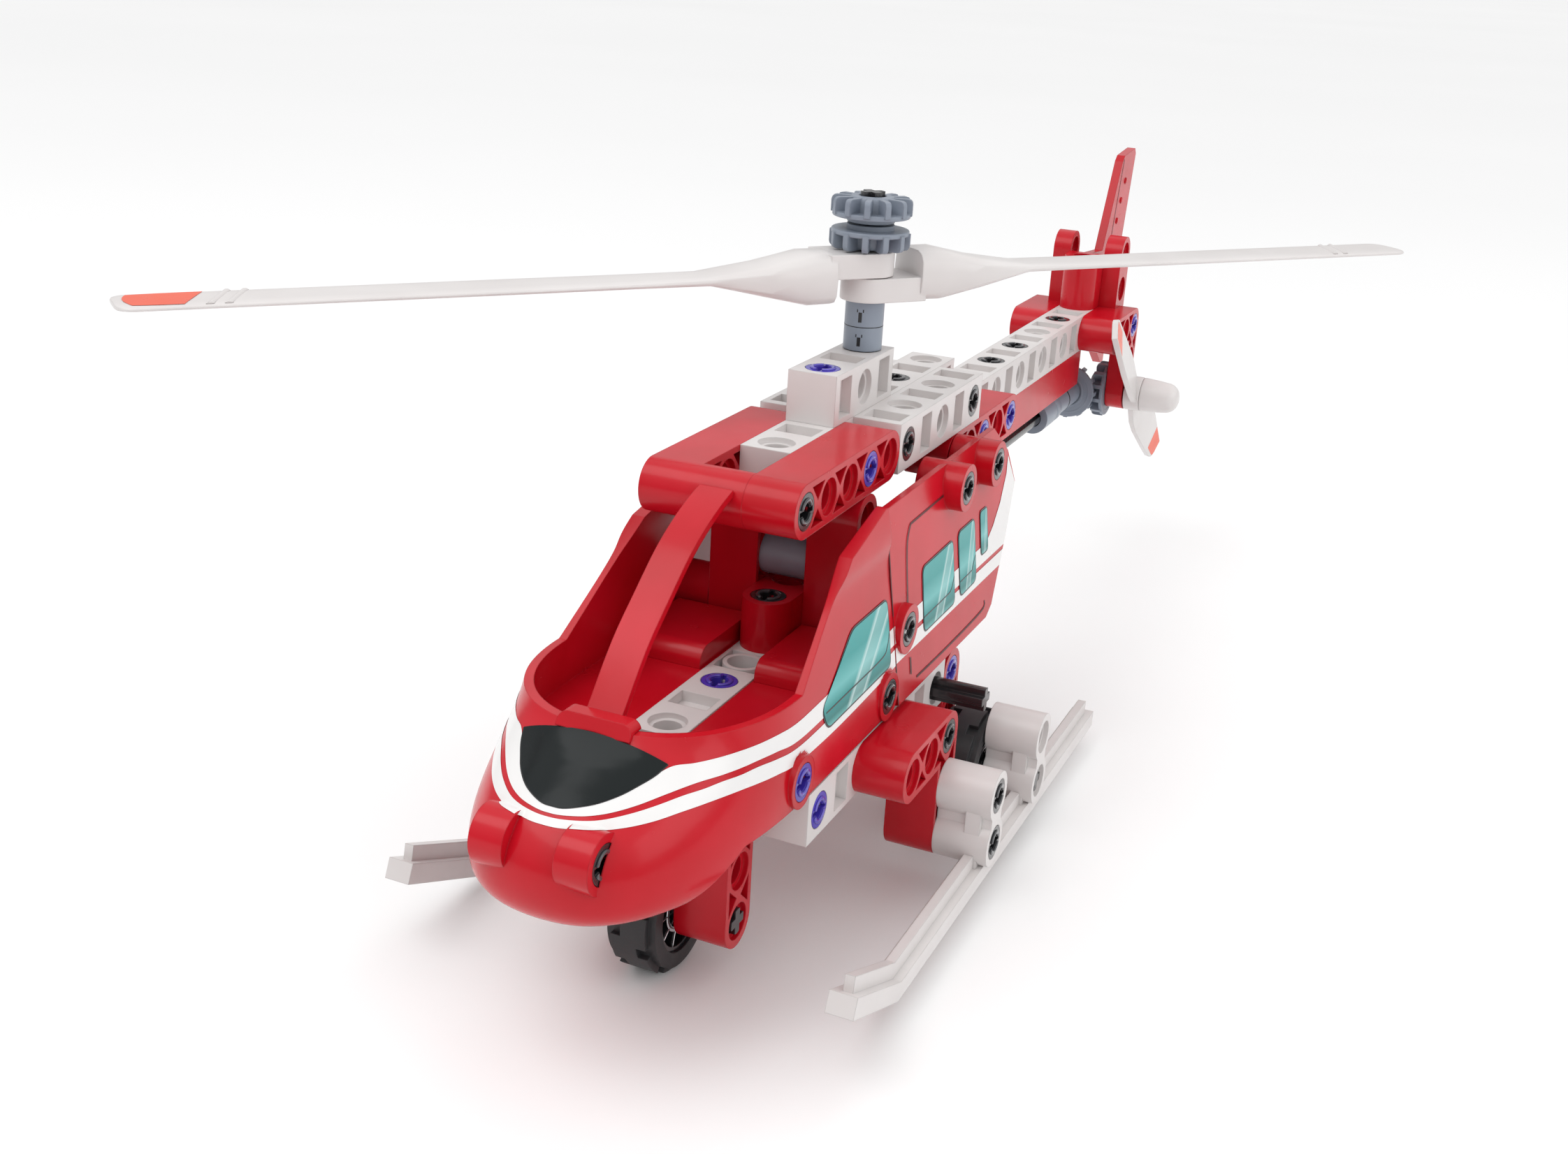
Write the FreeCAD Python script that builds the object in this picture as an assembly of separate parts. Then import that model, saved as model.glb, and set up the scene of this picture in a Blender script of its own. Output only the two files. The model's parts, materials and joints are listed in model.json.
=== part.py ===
import FreeCAD, Part
import math
import os

os.makedirs("parts", exist_ok=True)

# ---------------------------------------------------------------- driving dimensions
# Lengths ending in _mm or radii ending in _r are millimetres. Every other position and
# size is counted in hole pitches, because the kit is built on a cubic grid.
pitch = 10.0            # mm between neighbouring holes, and the width of every beam; an assumed value
ground_z = -8.25        # level of the wheels' lowest points, in pitches
mid_x = -10.706         # middle of the model's length, in pitches

bore_r = 2.5            # round hole in a beam
rim_hole_r = 3.45       # shallow ring around each hole
ring_deep = 0.1
pin_r = 2.44            # peg shank
axle_r = 2.44           # cross axle, measured over its ribs
rib_mm = 1.7            # thickness of a cross axle's ribs

rotor_angle = -38.5     # heading of the first main blade, degrees from straight ahead
rotor_reach = 14.1
tail_angle = 36.0       # heading of the first tail blade above the horizontal
tail_reach = 4.54
tail_pitch = 12.0       # twist of the tail blades out of their plane of rotation
tooth_count = 12
gear_core_r = 4.7       # raised core, low enough to pass the meshing gear's core
wheel_reach = 1.25      # wheel radius
wheel_half = 0.47       # half of a wheel's width
side_lean = 8.11        # degrees the cabin sides lean outwards going down
shell_boss = 2.58       # outer faces of the cabin shell's side bosses
panel_boss = 2.52       # outer faces of the side panels' front bosses

mast_x = -6.0
shaft_z = -3.0
tail_x = -24.0


# ---------------------------------------------------------------- small helpers
def vec(x, y, z):
    return FreeCAD.Vector(x * pitch, y * pitch, z * pitch)


def block(x0, x1, y0, y1, z0, z1):
    size = vec(x1 - x0, y1 - y0, z1 - z0)
    return Part.makeBox(size.x, size.y, size.z, vec(x0, y0, z0))


def rod(axis, a, b, c0, c1, radius_mm):
    """Cylinder along an axis; a and b are its place on the other two axes."""
    length_mm = (c1 - c0) * pitch
    if axis == "x":
        return Part.makeCylinder(radius_mm, length_mm, vec(c0, a, b), FreeCAD.Vector(1, 0, 0))
    if axis == "y":
        return Part.makeCylinder(radius_mm, length_mm, vec(a, c0, b), FreeCAD.Vector(0, 1, 0))
    return Part.makeCylinder(radius_mm, length_mm, vec(a, b, c0), FreeCAD.Vector(0, 0, 1))


def bar(axis, a, b, c0, c1, wide, high):
    """Straight bar of rectangular section along an axis."""
    if axis == "x":
        return block(c0, c1, a - wide / 2, a + wide / 2, b - high / 2, b + high / 2)
    if axis == "y":
        return block(a - wide / 2, a + wide / 2, c0, c1, b - high / 2, b + high / 2)
    return block(a - wide / 2, a + wide / 2, b - high / 2, b + high / 2, c0, c1)


def fuse_all(shapes):
    body = shapes[0].multiFuse(shapes[1:])
    return body.removeSplitter()


def cut_all(body, tools):
    return body.cut(Part.makeCompound(tools))


def mirrored(shape):
    return shape.mirror(FreeCAD.Vector(0, 0, 0), FreeCAD.Vector(0, 1, 0))


def prism_xz(points, y0, y1):
    """Flat outline in the side view, given thickness across the model."""
    corners = [vec(x, y0, z) for x, z in points]
    face = Part.Face(Part.makePolygon(corners + corners[:1]))
    return face.extrude(vec(0, y1 - y0, 0))


def hole(axis, a, b, c0, c1):
    """Round hole with a shallow ring at both mouths."""
    tools = [rod(axis, a, b, c0 - 0.01, c1 + 0.01, bore_r)]
    tools.append(rod(axis, a, b, c0 - 0.01, c0 + ring_deep, rim_hole_r))
    tools.append(rod(axis, a, b, c1 - ring_deep, c1 + 0.01, rim_hole_r))
    return tools


# ---------------------------------------------------------------- kit pieces
def truss_pockets(p, q, lo, hi):
    """Two triangular pockets on each face between neighbouring holes p and q."""
    mid = ((p[0] + q[0]) / 2, (p[1] + q[1]) / 2)
    along = (q[0] - p[0], q[1] - p[1])
    side = (-along[1], along[0])
    tools = []
    for sign in (1, -1):
        corners = []
        for run, off in ((-0.27, 0.38), (0.27, 0.38), (0.0, 0.08)):
            u = mid[0] + run * along[0] + sign * off * side[0]
            v = mid[1] + run * along[1] + sign * off * side[1]
            corners.append((u, v))
        tools.append(prism_xz(corners, lo - 0.01, lo + 0.18))
        tools.append(prism_xz(corners, hi - 0.18, hi + 0.01))
    return tools


def liftarm(cells, lo, hi, trussed=True):
    """Round-ended beam in the side plane through the given holes, lo to hi across."""
    solids = [rod("y", x, z, lo, hi, pitch / 2) for x, z in cells]
    for p, q in zip(cells[:-1], cells[1:]):
        if p[1] == q[1]:
            x0, x1 = sorted((p[0], q[0]))
            solids.append(block(x0, x1, lo, hi, p[1] - 0.5, p[1] + 0.5))
        else:
            z0, z1 = sorted((p[1], q[1]))
            solids.append(block(p[0] - 0.5, p[0] + 0.5, lo, hi, z0, z1))
    tools = []
    for x, z in cells:
        tools += hole("y", x, z, lo, hi)
    if trussed:
        for p, q in zip(cells[:-1], cells[1:]):
            tools += truss_pockets(p, q, lo, hi)
    return cut_all(fuse_all(solids), tools)


def flat_liftarm(x_front, count, y, z):
    """Round-ended beam along the model with upright holes."""
    x_back = x_front - count + 1
    ends = [rod("z", x, y, z - 0.5, z + 0.5, pitch / 2) for x in (x_front, x_back)]
    body = fuse_all([block(x_back, x_front, y - 0.5, y + 0.5, z - 0.5, z + 0.5)] + ends)
    tools = []
    for i in range(count):
        tools += hole("z", x_front - i, y, z - 0.5, z + 0.5)
    return cut_all(body, tools)


def square_beam(x_front, count, y, z, first):
    """Square-ended beam: holes take turns upright and across, with windows between."""
    body = block(x_front - count, x_front, y - 0.5, y + 0.5, z - 0.5, z + 0.5)
    other = "y" if first == "z" else "z"
    tools = []
    for i in range(count):
        x = x_front - 0.5 - i
        way = first if i % 2 == 0 else other
        if way == "z":
            tools += hole("z", x, y, z - 0.5, z + 0.5)
            for s0, s1 in ((y - 0.51, y - 0.3), (y + 0.3, y + 0.51)):
                tools.append(block(x - 0.28, x + 0.28, s0, s1, z - 0.38, z + 0.38))
        else:
            tools += hole("y", x, z, y - 0.5, y + 0.5)
            for s0, s1 in ((z - 0.51, z - 0.3), (z + 0.3, z + 0.51)):
                tools.append(block(x - 0.28, x + 0.28, y - 0.38, y + 0.38, s0, s1))
    return cut_all(body, tools)


def cross_bar(axis, a, b, c0, c1, grow_mm=0.0):
    """Cross-shaped axle trimmed to its over-rib radius."""
    rib = (rib_mm + 2 * grow_mm) / pitch
    over = 2.2 * axle_r / pitch
    ribs = bar(axis, a, b, c0, c1, over, rib).fuse(bar(axis, a, b, c0, c1, rib, over))
    return ribs.common(rod(axis, a, b, c0, c1, axle_r + grow_mm)).removeSplitter()


def bushing(axis, a, b, c0, c1, radius_mm=3.9):
    body = rod(axis, a, b, c0, c1, radius_mm)
    return body.cut(cross_bar(axis, a, b, c0 - 0.1, c1 + 0.1, 0.03))


def peg(axis, a, b, face, inward, depth):
    """Connector peg: rimmed slotted head in a hole's ring, shank reaching inward."""
    tip = face + inward * depth
    neck = face + inward * ring_deep
    shank = rod(axis, a, b, min(neck, tip), max(neck, tip), pin_r)
    head = rod(axis, a, b, min(face, neck), max(face, neck), rim_hole_r - 0.1)
    well_end = face + inward * 0.45
    over = face - inward * 0.01
    well = rod(axis, a, b, min(over, well_end), max(over, well_end), 1.5)
    slot_end = face + inward * 0.3
    slot = bar(axis, a, b, min(over, slot_end), max(over, slot_end), 0.56, 0.09)
    return cut_all(shank.fuse(head), [well, slot]).removeSplitter()


def crown_gear(axis, a, b, plate, toward, phase, core=0.5, back=0.0):
    """Twelve-tooth crown gear. plate is the plate's outer face; toward is the teeth's way.

    core is how far the raised middle reaches past that face, and back the drum behind it.
    """
    parts = []

    def span(near, far):
        ends = (plate + toward * near, plate + toward * far)
        return min(ends), max(ends)

    low, high = span(0.0, 0.1)
    parts.append(rod(axis, a, b, low, high, 7.7))
    low, high = span(-back, core)
    parts.append(rod(axis, a, b, low, high, gear_core_r))
    low, high = span(0.05, 0.38)
    for i in range(tooth_count):
        tooth = block(0.42, 0.8, -0.06, 0.06, low, high)
        tooth = rounded_shoulder(tooth, high if toward > 0 else low)
        tooth.rotate(FreeCAD.Vector(0, 0, 0), FreeCAD.Vector(0, 0, 1), phase + i * 360.0 / tooth_count)
        parts.append(stand_tooth(tooth, axis, a, b))
    gear = fuse_all(parts)
    low, high = span(-back - 0.05, 0.55)
    return gear.cut(cross_bar(axis, a, b, low, high, 0.03))


def rounded_shoulder(tooth, tip):
    """Round the edge where a tooth's outer end meets its tip."""
    shoulder = [e for e in tooth.Edges if e.BoundBox.XMin > 0.79 * pitch
                and e.BoundBox.ZLength < 0.01 and abs(e.CenterOfMass.z - tip * pitch) < 0.01]
    return tooth.makeFillet(0.1 * pitch, shoulder)


def stand_tooth(tooth, axis, a, b):
    """Turn a tooth built around an upright axis to the gear's own axis."""
    origin = FreeCAD.Vector(0, 0, 0)
    if axis == "x":
        tooth.rotate(origin, FreeCAD.Vector(0, 1, 0), 90)
        tooth.translate(vec(0, a, b))
    elif axis == "y":
        tooth.rotate(origin, FreeCAD.Vector(1, 0, 0), -90)
        tooth.translate(vec(a, 0, b))
    else:
        tooth.translate(vec(a, b, 0))
    return tooth


# ---------------------------------------------------------------- top level and boom
def top_beam_left():
    return liftarm([(-i, 0) for i in range(5)], 0.5, 1.5)


def top_beam_right():
    rail = liftarm([(-i, 0) for i in range(5)], -1.5, -0.5)
    arm = rod("y", 0, 0, -0.6, 0.5, pitch / 2)
    arm = arm.cut(rod("y", 0, 0, -0.7, 0.6, bore_r))
    return fuse_all([rail, arm])


def tail_bracket():
    """Arm of full width with a half-width leg hanging from its rear end."""
    cells = [(-22, -1), (-23, -1), (-24, -1), (-24, -2), (-24, -3)]
    body = liftarm(cells, 0.5, 1.5)
    body = body.cut(block(-24.6, -23.5, 0.4, 1.0, -3.6, -0.4))
    return cut_all(body, [rod("y", x, z, 0.99, 1.0 + ring_deep, rim_hole_r) for x, z in cells[3:]])


def tail_post():
    return liftarm([(-24, -1), (-24, 0), (-24, 1)], 0.5, 1.0, trussed=False)


def tail_fin():
    """Round-fronted foot on the boom and a thin swept fin reaching above and below."""
    foot = fuse_all([rod("z", -23, 0, -0.5, 1.0, pitch / 2), block(-23.5, -23, -0.5, 0.5, -0.5, 1.0)])
    blade = prism_xz([(-23.4, -0.5), (-23.4, 1.0), (-24.8, 0.9), (-26.05, 3.35), (-26.25, 3.5),
                      (-27.45, 3.62), (-27.6, 3.45), (-27.1, 1.1), (-26.6, -1.2), (-26.5, -2.75),
                      (-26.2, -2.75), (-25.1, -2.0), (-24.7, -0.5)], -0.12, 0.12)
    foot = foot.cut(rod("z", -23, 0, -0.51, 1.01, bore_r))
    return fuse_all([foot, blade.cut(rod("z", -23, 0, -0.6, 1.1, bore_r))])


# ---------------------------------------------------------------- cabin
def hull_section(z, half_width, nose_x, power, back_x):
    """Closed level outline: straight sides with a rounded nose."""
    start_x = 1.65
    points = []
    steps = 12
    for i in range(steps + 1):
        turn = math.pi * (i / steps - 0.5)
        cos_part = abs(math.cos(turn)) ** (2.0 / power)
        sin_part = abs(math.sin(turn)) ** (2.0 / power)
        side = math.copysign(sin_part, turn) if i != steps / 2 else 0.0
        points.append(vec(start_x + (nose_x - start_x) * cos_part, half_width * side, z))
    nose = Part.BSplineCurve()
    nose.interpolate(points)
    back = [vec(back_x, half_width, z), vec(back_x, -half_width, z)]
    edges = [nose.toShape(), Part.makeLine(points[-1], back[0])]
    edges.append(Part.makeLine(back[0], back[1]))
    edges.append(Part.makeLine(back[1], points[0]))
    return Part.Wire(edges)


def hull(wall, floor_z):
    """Solid hull set in by a wall thickness, down to floor_z."""
    levels = [(-0.2, 2.01, 3.4, 2.3), (-1.4, 2.18, 3.9, 2.3), (-2.6, 2.35, 4.55, 2.3),
              (-3.3, 2.45, 5.62, 2.05), (-3.65, 2.5, 6.12, 2.05), (-4.1, 2.54, 6.44, 2.15),
              (-4.6, 2.5, 6.48, 2.35), (floor_z, 2.1, 6.1, 2.35)]
    wires = []
    for z, half_width, nose_x, power in levels:
        wires.append(hull_section(z, half_width - wall, nose_x - 1.2 * wall, power, -2.45 - wall))
    return Part.makeLoft(wires, True, False)


def cabin_shell():
    outer = hull(0.0, -5.2)
    inner = hull(0.15, -5.05)
    above = prism_xz([(8, -2.58), (1.7, -2.58), (-0.58, -0.9), (-2.35, -0.5), (-3, -0.5),
                      (-3, 1), (8, 1)], -4, 4)
    below = prism_xz([(-3, -4.42), (3.75, -4.42), (4.75, -5.0), (5.3, -5.6), (-3, -5.6)], -4, 4)
    skin = outer.cut(inner).cut(above).cut(below)
    deck = inner.common(block(-2.4, 5.6, -3, 3, -3.72, -3.52))
    deck = deck.cut(block(-2.5, 2.55, -0.51, 0.51, -3.8, -3.4))
    bosses = [rod("y", 6, -4, 0.45, 1.05, pitch / 2), rod("y", 6, -4, -1.05, -0.45, pitch / 2)]
    body = skin.fuse([deck] + bosses)
    rings = []
    tools = hole("y", 6, -4, -1.05, 1.05)
    for x in (2, -2):
        for y0, y1 in ((1.55, shell_boss), (-shell_boss, -1.55)):
            rings.append(rod("y", x, -4, y0, y1, 4.7))
            tools += hole("y", x, -4, y0, y1)
    body = body.fuse(rings)
    for y0 in (0.46, -1.54):
        tools.append(block(1.45, 4.55, y0, y0 + 1.08, -5.6, -4.46))
    return cut_all(body, tools).removeSplitter()


def windscreen_arch():
    """Curved bar from the front arm down to a clip over the nose rim."""
    curve = [(0.47, 0.3), (1.42, -0.06), (2.03, -0.41), (2.72, -0.95), (3.35, -1.47), (4.14, -2.36),
             (4.26, -2.5)]
    upper = Part.BSplineCurve()
    upper.interpolate([vec(x, -0.32, z) for x, z in curve])
    lower = Part.BSplineCurve()
    lower.interpolate([vec(x - 0.08, -0.32, z - 0.11) for x, z in curve])
    ends = [Part.makeLine(upper.StartPoint, lower.StartPoint)]
    ends.append(Part.makeLine(lower.EndPoint, upper.EndPoint))
    wire = Part.Wire([upper.toShape(), ends[1], lower.toShape(), ends[0]])
    strip = Part.Face(wire).extrude(vec(0, 0.64, 0))
    outline = [(4.2, -2.42), (4.48, -2.42), (4.6, -2.66), (4.2, -2.66)]
    clip = prism_xz(outline, -0.67, 0.67)
    top_ends = [e for e in clip.Edges if e.BoundBox.YLength < 0.01 and e.BoundBox.ZMin > -2.43 * pitch]
    clip = clip.makeFillet(0.18 * pitch, top_ends)
    bowl = hull(0.0, -5.2).common(block(-3, 8, -3, 3, -6, -2.58))
    below_rim = bowl.fuse(block(3.9, 4.42, -0.7, 0.7, -3, -2.57))
    strip = strip.cut(rod("y", 0, 0, -1, 1, pitch / 2))
    return fuse_all([strip, clip]).cut(below_rim)


def seat_pads():
    pad = block(-2.4, -0.3, 0.55, 2.1, -3.52, -3.12)
    front_edges = [e for e in pad.Edges if e.BoundBox.XMin > -0.31 * pitch and e.BoundBox.ZMin > -3.2 * pitch]
    pad = pad.makeFillet(0.3 * pitch, front_edges)
    pad = pad.cut(block(-3.6, -2.4, 0, 3, -4, 0))
    return Part.makeCompound([pad, mirrored(pad)])


def floor_end_beam():
    """Beam whose front cell is a ring with a pocket at each corner."""
    body = block(-3.5, -0.5, -0.5, 0.5, -4.5, -3.5)
    tools = [rod("z", -1, 0, -4.6, -3.4, 3.0)]
    for x in (-2, -3):
        tools += hole("z", x, 0, -4.5, -3.5)
    ring = rod("z", -1, 0, -5, -3, 3.9)
    pocket = block(-1.42, -0.58, -0.42, 0.42, -3.75, -3.4).cut(ring)
    return cut_all(body, tools + pocket.Solids)


def side_panel():
    """Leaning rear side wall with three peg bosses."""
    outline = [(-2.5, -4.42), (-2.5, -0.55), (-8.9, -0.5), (-9.8, -1.2), (-10.2, -2.0),
               (-9.25, -3.15), (-8.2, -4.25), (-7.8, -4.42)]
    wall = prism_xz(outline, 1.9, 2.05)
    wall.rotate(vec(0, 2.05, -0.5), FreeCAD.Vector(1, 0, 0), side_lean)
    bosses = [rod("y", -3, -3, 1.52, panel_boss, 4.9)]
    bosses += [rod("y", x, -1, 1.52, 2.5, 4.9) for x in (-6, -8)]
    tools = hole("y", -3, -3, 1.52, panel_boss)
    for x in (-6, -8):
        tools += hole("y", x, -1, 1.52, 2.5)
    tools.append(block(-2.5, 0, 0, 4, -6, 0))
    return cut_all(fuse_all([wall] + bosses), tools)


# ---------------------------------------------------------------- undercarriage
def corner_bracket(x_front, lo, hi):
    """Three-by-three corner liftarm, its leg hanging from the rear end."""
    cells = [(x_front, -5), (x_front - 1, -5), (x_front - 2, -5), (x_front - 2, -6), (x_front - 2, -7)]
    return liftarm(cells, lo, hi)


def skid():
    """Four bosses on two webs above a T-section runner with a raised toe."""
    solids = []
    tools = []
    for x in (-3, -6):
        for z in (-6, -7):
            solids.append(rod("y", x, z, 3.5, 4.6, pitch / 2))
            tools += hole("y", x, z, 3.5, 4.6)
        solids.append(block(x - 0.42, x + 0.42, 4.1, 4.4, -7.6, -6.0))
        solids.append(block(x - 0.3, x + 0.3, 3.5, 4.6, -6.72, -6.28))
    solids.append(prism_xz([(-11.0, -7.8), (1.8, -7.8), (4.0, -6.85), (3.85, -6.5), (1.7, -7.45),
                            (-11.0, -7.45)], 4.0, 4.5))
    solids.append(prism_xz([(-10.8, -7.6), (1.75, -7.6), (3.7, -6.75), (3.6, -6.3), (1.65, -7.15),
                            (-10.8, -7.15)], 4.16, 4.34))
    return cut_all(fuse_all(solids), tools)


def tyre(x, y, z):
    """Wide tyre with a stepped shoulder and blocks cut into both edges."""
    crown = rod("y", x, z, y - 0.34, y + 0.34, wheel_reach * pitch)
    flank = rod("y", x, z, y - wheel_half, y + wheel_half, 1.13 * pitch)
    body = crown.fuse(flank)
    tools = [rod("y", x, z, y - 0.5, y + 0.5, 8.5)]
    for i in range(9):
        for edge, shift in ((-0.3, 0.0), (0.3, 20.0)):
            notch = block(1.13, 1.3, edge - 0.15, edge + 0.15, -0.12, 0.12)
            turn = 40.0 * i + shift
            notch.rotate(FreeCAD.Vector(0, 0, 0), FreeCAD.Vector(0, 1, 0), turn)
            notch.translate(vec(x, y, z))
            tools.append(notch)
    return cut_all(body, tools).removeSplitter()


def rim(x, y, z):
    """Deep wheel centre with a hub and ten thin spokes on each side."""
    drum = rod("y", x, z, y - 0.42, y + 0.42, 8.5)
    wells = [rod("y", x, z, y + 0.12, y + 0.43, 7.6), rod("y", x, z, y - 0.43, y - 0.12, 7.6)]
    extras = [rod("y", x, z, y - wheel_half, y + wheel_half, 3.2)]
    for i in range(10):
        spoke = block(0.3, 0.77, -0.36, 0.36, -0.035, 0.035)
        spoke.rotate(FreeCAD.Vector(0, 0, 0), FreeCAD.Vector(0, 1, 0), 36.0 * i)
        spoke.translate(vec(x, y, z))
        extras.append(spoke)
    body = fuse_all([cut_all(drum, wells)] + extras)
    return body.cut(cross_bar("y", x, z, y - 0.6, y + 0.6, 0.03))


# ---------------------------------------------------------------- rotors and drive
def blade_section(reach, half_width, z_low, z_high):
    corners = [vec(reach, -half_width, z_low), vec(reach, half_width, z_low)]
    corners += [vec(reach, half_width, z_high), vec(reach, -half_width, z_high)]
    return Part.makePolygon(corners + corners[:1])


def rotor_blade(heading, lap_low):
    """Main blade: half-lapped eye, deep root narrowing into a long thin blade."""
    eye = rod("z", 0, 0, lap_low, lap_low + 0.5, 5.2)
    neck = block(0, 0.8, -0.52, 0.52, lap_low, lap_low + 0.5)
    root = Part.makeLoft([blade_section(0.6, 0.52, 2.5, 3.5), blade_section(1.5, 0.62, 2.5, 3.5),
                          blade_section(2.4, 0.6, 2.7, 3.3), blade_section(3.6, 0.48, 2.97, 3.13)],
                         True, True)
    wing = Part.makeLoft([blade_section(3.5, 0.48, 2.98, 3.12), blade_section(7.0, 0.55, 2.99, 3.11),
                          blade_section(13.6, 0.58, 3.0, 3.1)], True, True)
    tip = block(13.5, rotor_reach, -0.58, 0.58, 3.0, 3.1)
    uprights = [e for e in tip.Edges if e.BoundBox.ZLength > 0.9 and e.BoundBox.XMin > 13.9 * pitch]
    tip = tip.makeFillet(0.3 * pitch, uprights)
    other_low = 5.5 - lap_low
    root = root.cut(rod("z", 0, 0, other_low - 0.01, other_low + 0.51, 7.6))
    root = root.cut(rod("z", 0, 0, 2.4, 3.6, 5.2))
    body = fuse_all([eye, neck, root, wing, tip])
    body = body.cut(rod("z", 0, 0, other_low, other_low + 0.5, 7.6))
    body = body.cut(cross_bar("z", 0, 0, 2.4, 3.6, 0.03))
    body.rotate(FreeCAD.Vector(0, 0, 0), FreeCAD.Vector(0, 0, 1), heading)
    body.translate(vec(mast_x, 0, 0))
    return body


def tail_rotor():
    """Hub with two opposite pitched blades on a crosswise axle."""
    hub = rod("y", 0, 0, 1.53, 2.0, 5.0)
    blades = []
    for turn in (0.0, 180.0):
        outline = [(0.2, -0.4), (1.0, -0.54), (2.5, -0.56), (3.5, -0.48), (tail_reach, -0.4),
                   (tail_reach, 0.04), (tail_reach - 0.04, 0.15), (tail_reach - 0.14, 0.25),
                   (tail_reach - 0.3, 0.32), (3.4, 0.42), (1.7, 0.57), (1.0, 0.56), (0.2, 0.4)]
        blade = prism_xz(outline, 1.7, 1.86)
        blade.rotate(vec(0, 1.78, 0), FreeCAD.Vector(1, 0, 0), tail_pitch)
        blade.rotate(FreeCAD.Vector(0, 0, 0), FreeCAD.Vector(0, 1, 0), turn - tail_angle)
        blades.append(blade)
    body = fuse_all([hub] + blades)
    body = body.cut(cross_bar("y", 0, 0, 1.4, 2.1, 0.03))
    body.translate(vec(tail_x, 0, shaft_z))
    return body


def tail_spinner():
    cone = Part.makeCone(5.0, 4.3, 0.8 * pitch, vec(0, 2.0, 0), FreeCAD.Vector(0, 1, 0))
    cap = Part.makeCone(4.3, 2.4, 0.28 * pitch, vec(0, 2.8, 0), FreeCAD.Vector(0, 1, 0))
    body = fuse_all([cone, cap])
    body = body.cut(cross_bar("y", 0, 0, 1.9, 2.65, 0.03))
    body.translate(vec(tail_x, 0, shaft_z))
    return body


def shaft_hanger(x_front):
    """Bearing block under the boom that carries the drive shaft."""
    solids = [rod("x", 0, shaft_z, x_front - 1.0, x_front, 4.4)]
    solids.append(block(x_front - 1.0, x_front, -0.3, 0.3, shaft_z, -2.5))
    return fuse_all(solids).cut(rod("x", 0, shaft_z, x_front - 1.1, x_front + 0.1, bore_r))


# ---------------------------------------------------------------- pegs
def black_pegs():
    pegs = []
    across = [(0, 0, 1.5, 1.95), (-5, 0, 1.5, 1.45), (-9, 0, 1.5, 1.45), (-2, -4, shell_boss, 1.0),
              (-3, -3, panel_boss, 0.98), (-6, -1, 2.5, 0.96), (-8, -1, 2.5, 1.95), (-3, -5, 3.5, 1.95),
              (-3, -6, 4.6, 2.0), (-3, -7, 4.6, 2.0), (6, -4, 1.05, 1.0)]
    for x, z, face, depth in across:
        pegs.append(peg("y", x, z, face, -1, depth))
        if x == 0:
            depth = 0.95
        pegs.append(peg("y", x, z, -face, 1, depth))
    upright = [(-8, 0.5, 0.98), (-15, -0.5, 1.95), (-17, -0.5, 1.95), (-21, -0.5, 1.95), (-2, -2.5, 1.95)]
    for x, face, depth in upright:
        pegs.append(peg("z", x, 0, face, -1, depth))
    return Part.makeCompound(pegs)


def blue_pegs():
    pegs = []
    across = [(-3, 0, 1.5, 1.45), (-12, -1, 1.5, 1.45), (-10, -1, 1.5, 1.45), (-24, -1, 1.5, 0.97),
              (2, -4, shell_boss, 1.0), (1, -5, 2.5, 1.95), (-6, -5, 2.5, 1.95)]
    for x, z, face, depth in across:
        pegs.append(peg("y", x, z, face, -1, depth))
        pegs.append(peg("y", x, z, -face, 1, depth))
    pegs.append(peg("z", -4, 0, 1.5, -1, 1.95))
    pegs.append(peg("z", 0, 0, -3.5, -1, 1.95))
    return Part.makeCompound(pegs)


# ---------------------------------------------------------------- output
def export(name, shape):
    placed = shape.copy()
    placed.translate(vec(-mid_x, 0, -ground_z))
    placed.exportStep("parts/" + name + ".step")
    box = placed.BoundBox
    print(name, len(placed.Solids), placed.isValid(), round(placed.Volume),
          [round(v, 1) for v in (box.XMin, box.XMax, box.YMin, box.YMax, box.ZMin, box.ZMax)])


def pair(shape):
    return Part.makeCompound([shape, mirrored(shape)])


def export_frame():
    export("top_beam_left", top_beam_left())
    export("top_beam_right", top_beam_right())
    export("spine_beam", square_beam(-1.5, 9, 0, 0, "z"))
    export("side_beam_left", square_beam(-4.5, 5, 1, 0, "y"))
    export("side_beam_right", square_beam(-4.5, 5, -1, 0, "y"))
    export("mast_block", square_beam(-3.5, 3, 0, 1, "z"))
    export("boom_beam", square_beam(-8.5, 15, 0, -1, "z"))
    export("boom_liftarms", pair(liftarm([(-i, -1) for i in range(8, 13)], 0.5, 1.5)))
    export("boom_under_beam", flat_liftarm(-12, 11, 0, -2))
    bracket = tail_bracket()
    export("tail_bracket_left", bracket)
    export("tail_bracket_right", mirrored(bracket))
    export("tail_posts", pair(tail_post()))
    export("tail_fin", tail_fin())


def export_cabin():
    export("cabin_shell", cabin_shell())
    export("windscreen_arch", windscreen_arch())
    export("floor_beam", square_beam(2.5, 3, 0, -4, "z"))
    export("floor_end_beam", floor_end_beam())
    export("floor_riser", flat_liftarm(-2, 2, 0, -3))
    export("seat_pads", seat_pads())
    export("cabin_columns", pair(liftarm([(-3, -1), (-3, -2), (-3, -3), (-3, -4)], 0.5, 1.5)))
    export("cross_bushing", bushing("y", -3, -2, -0.5, 0.5, 4.2))
    axles = [cross_bar("y", -3, -2, -1.5, 1.5), cross_bar("y", -5, -5, -3.58, 3.58)]
    export("fixed_cross_axles", Part.makeCompound(axles))
    panel = side_panel()
    export("side_panel_left", panel)
    export("side_panel_right", mirrored(panel))


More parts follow.
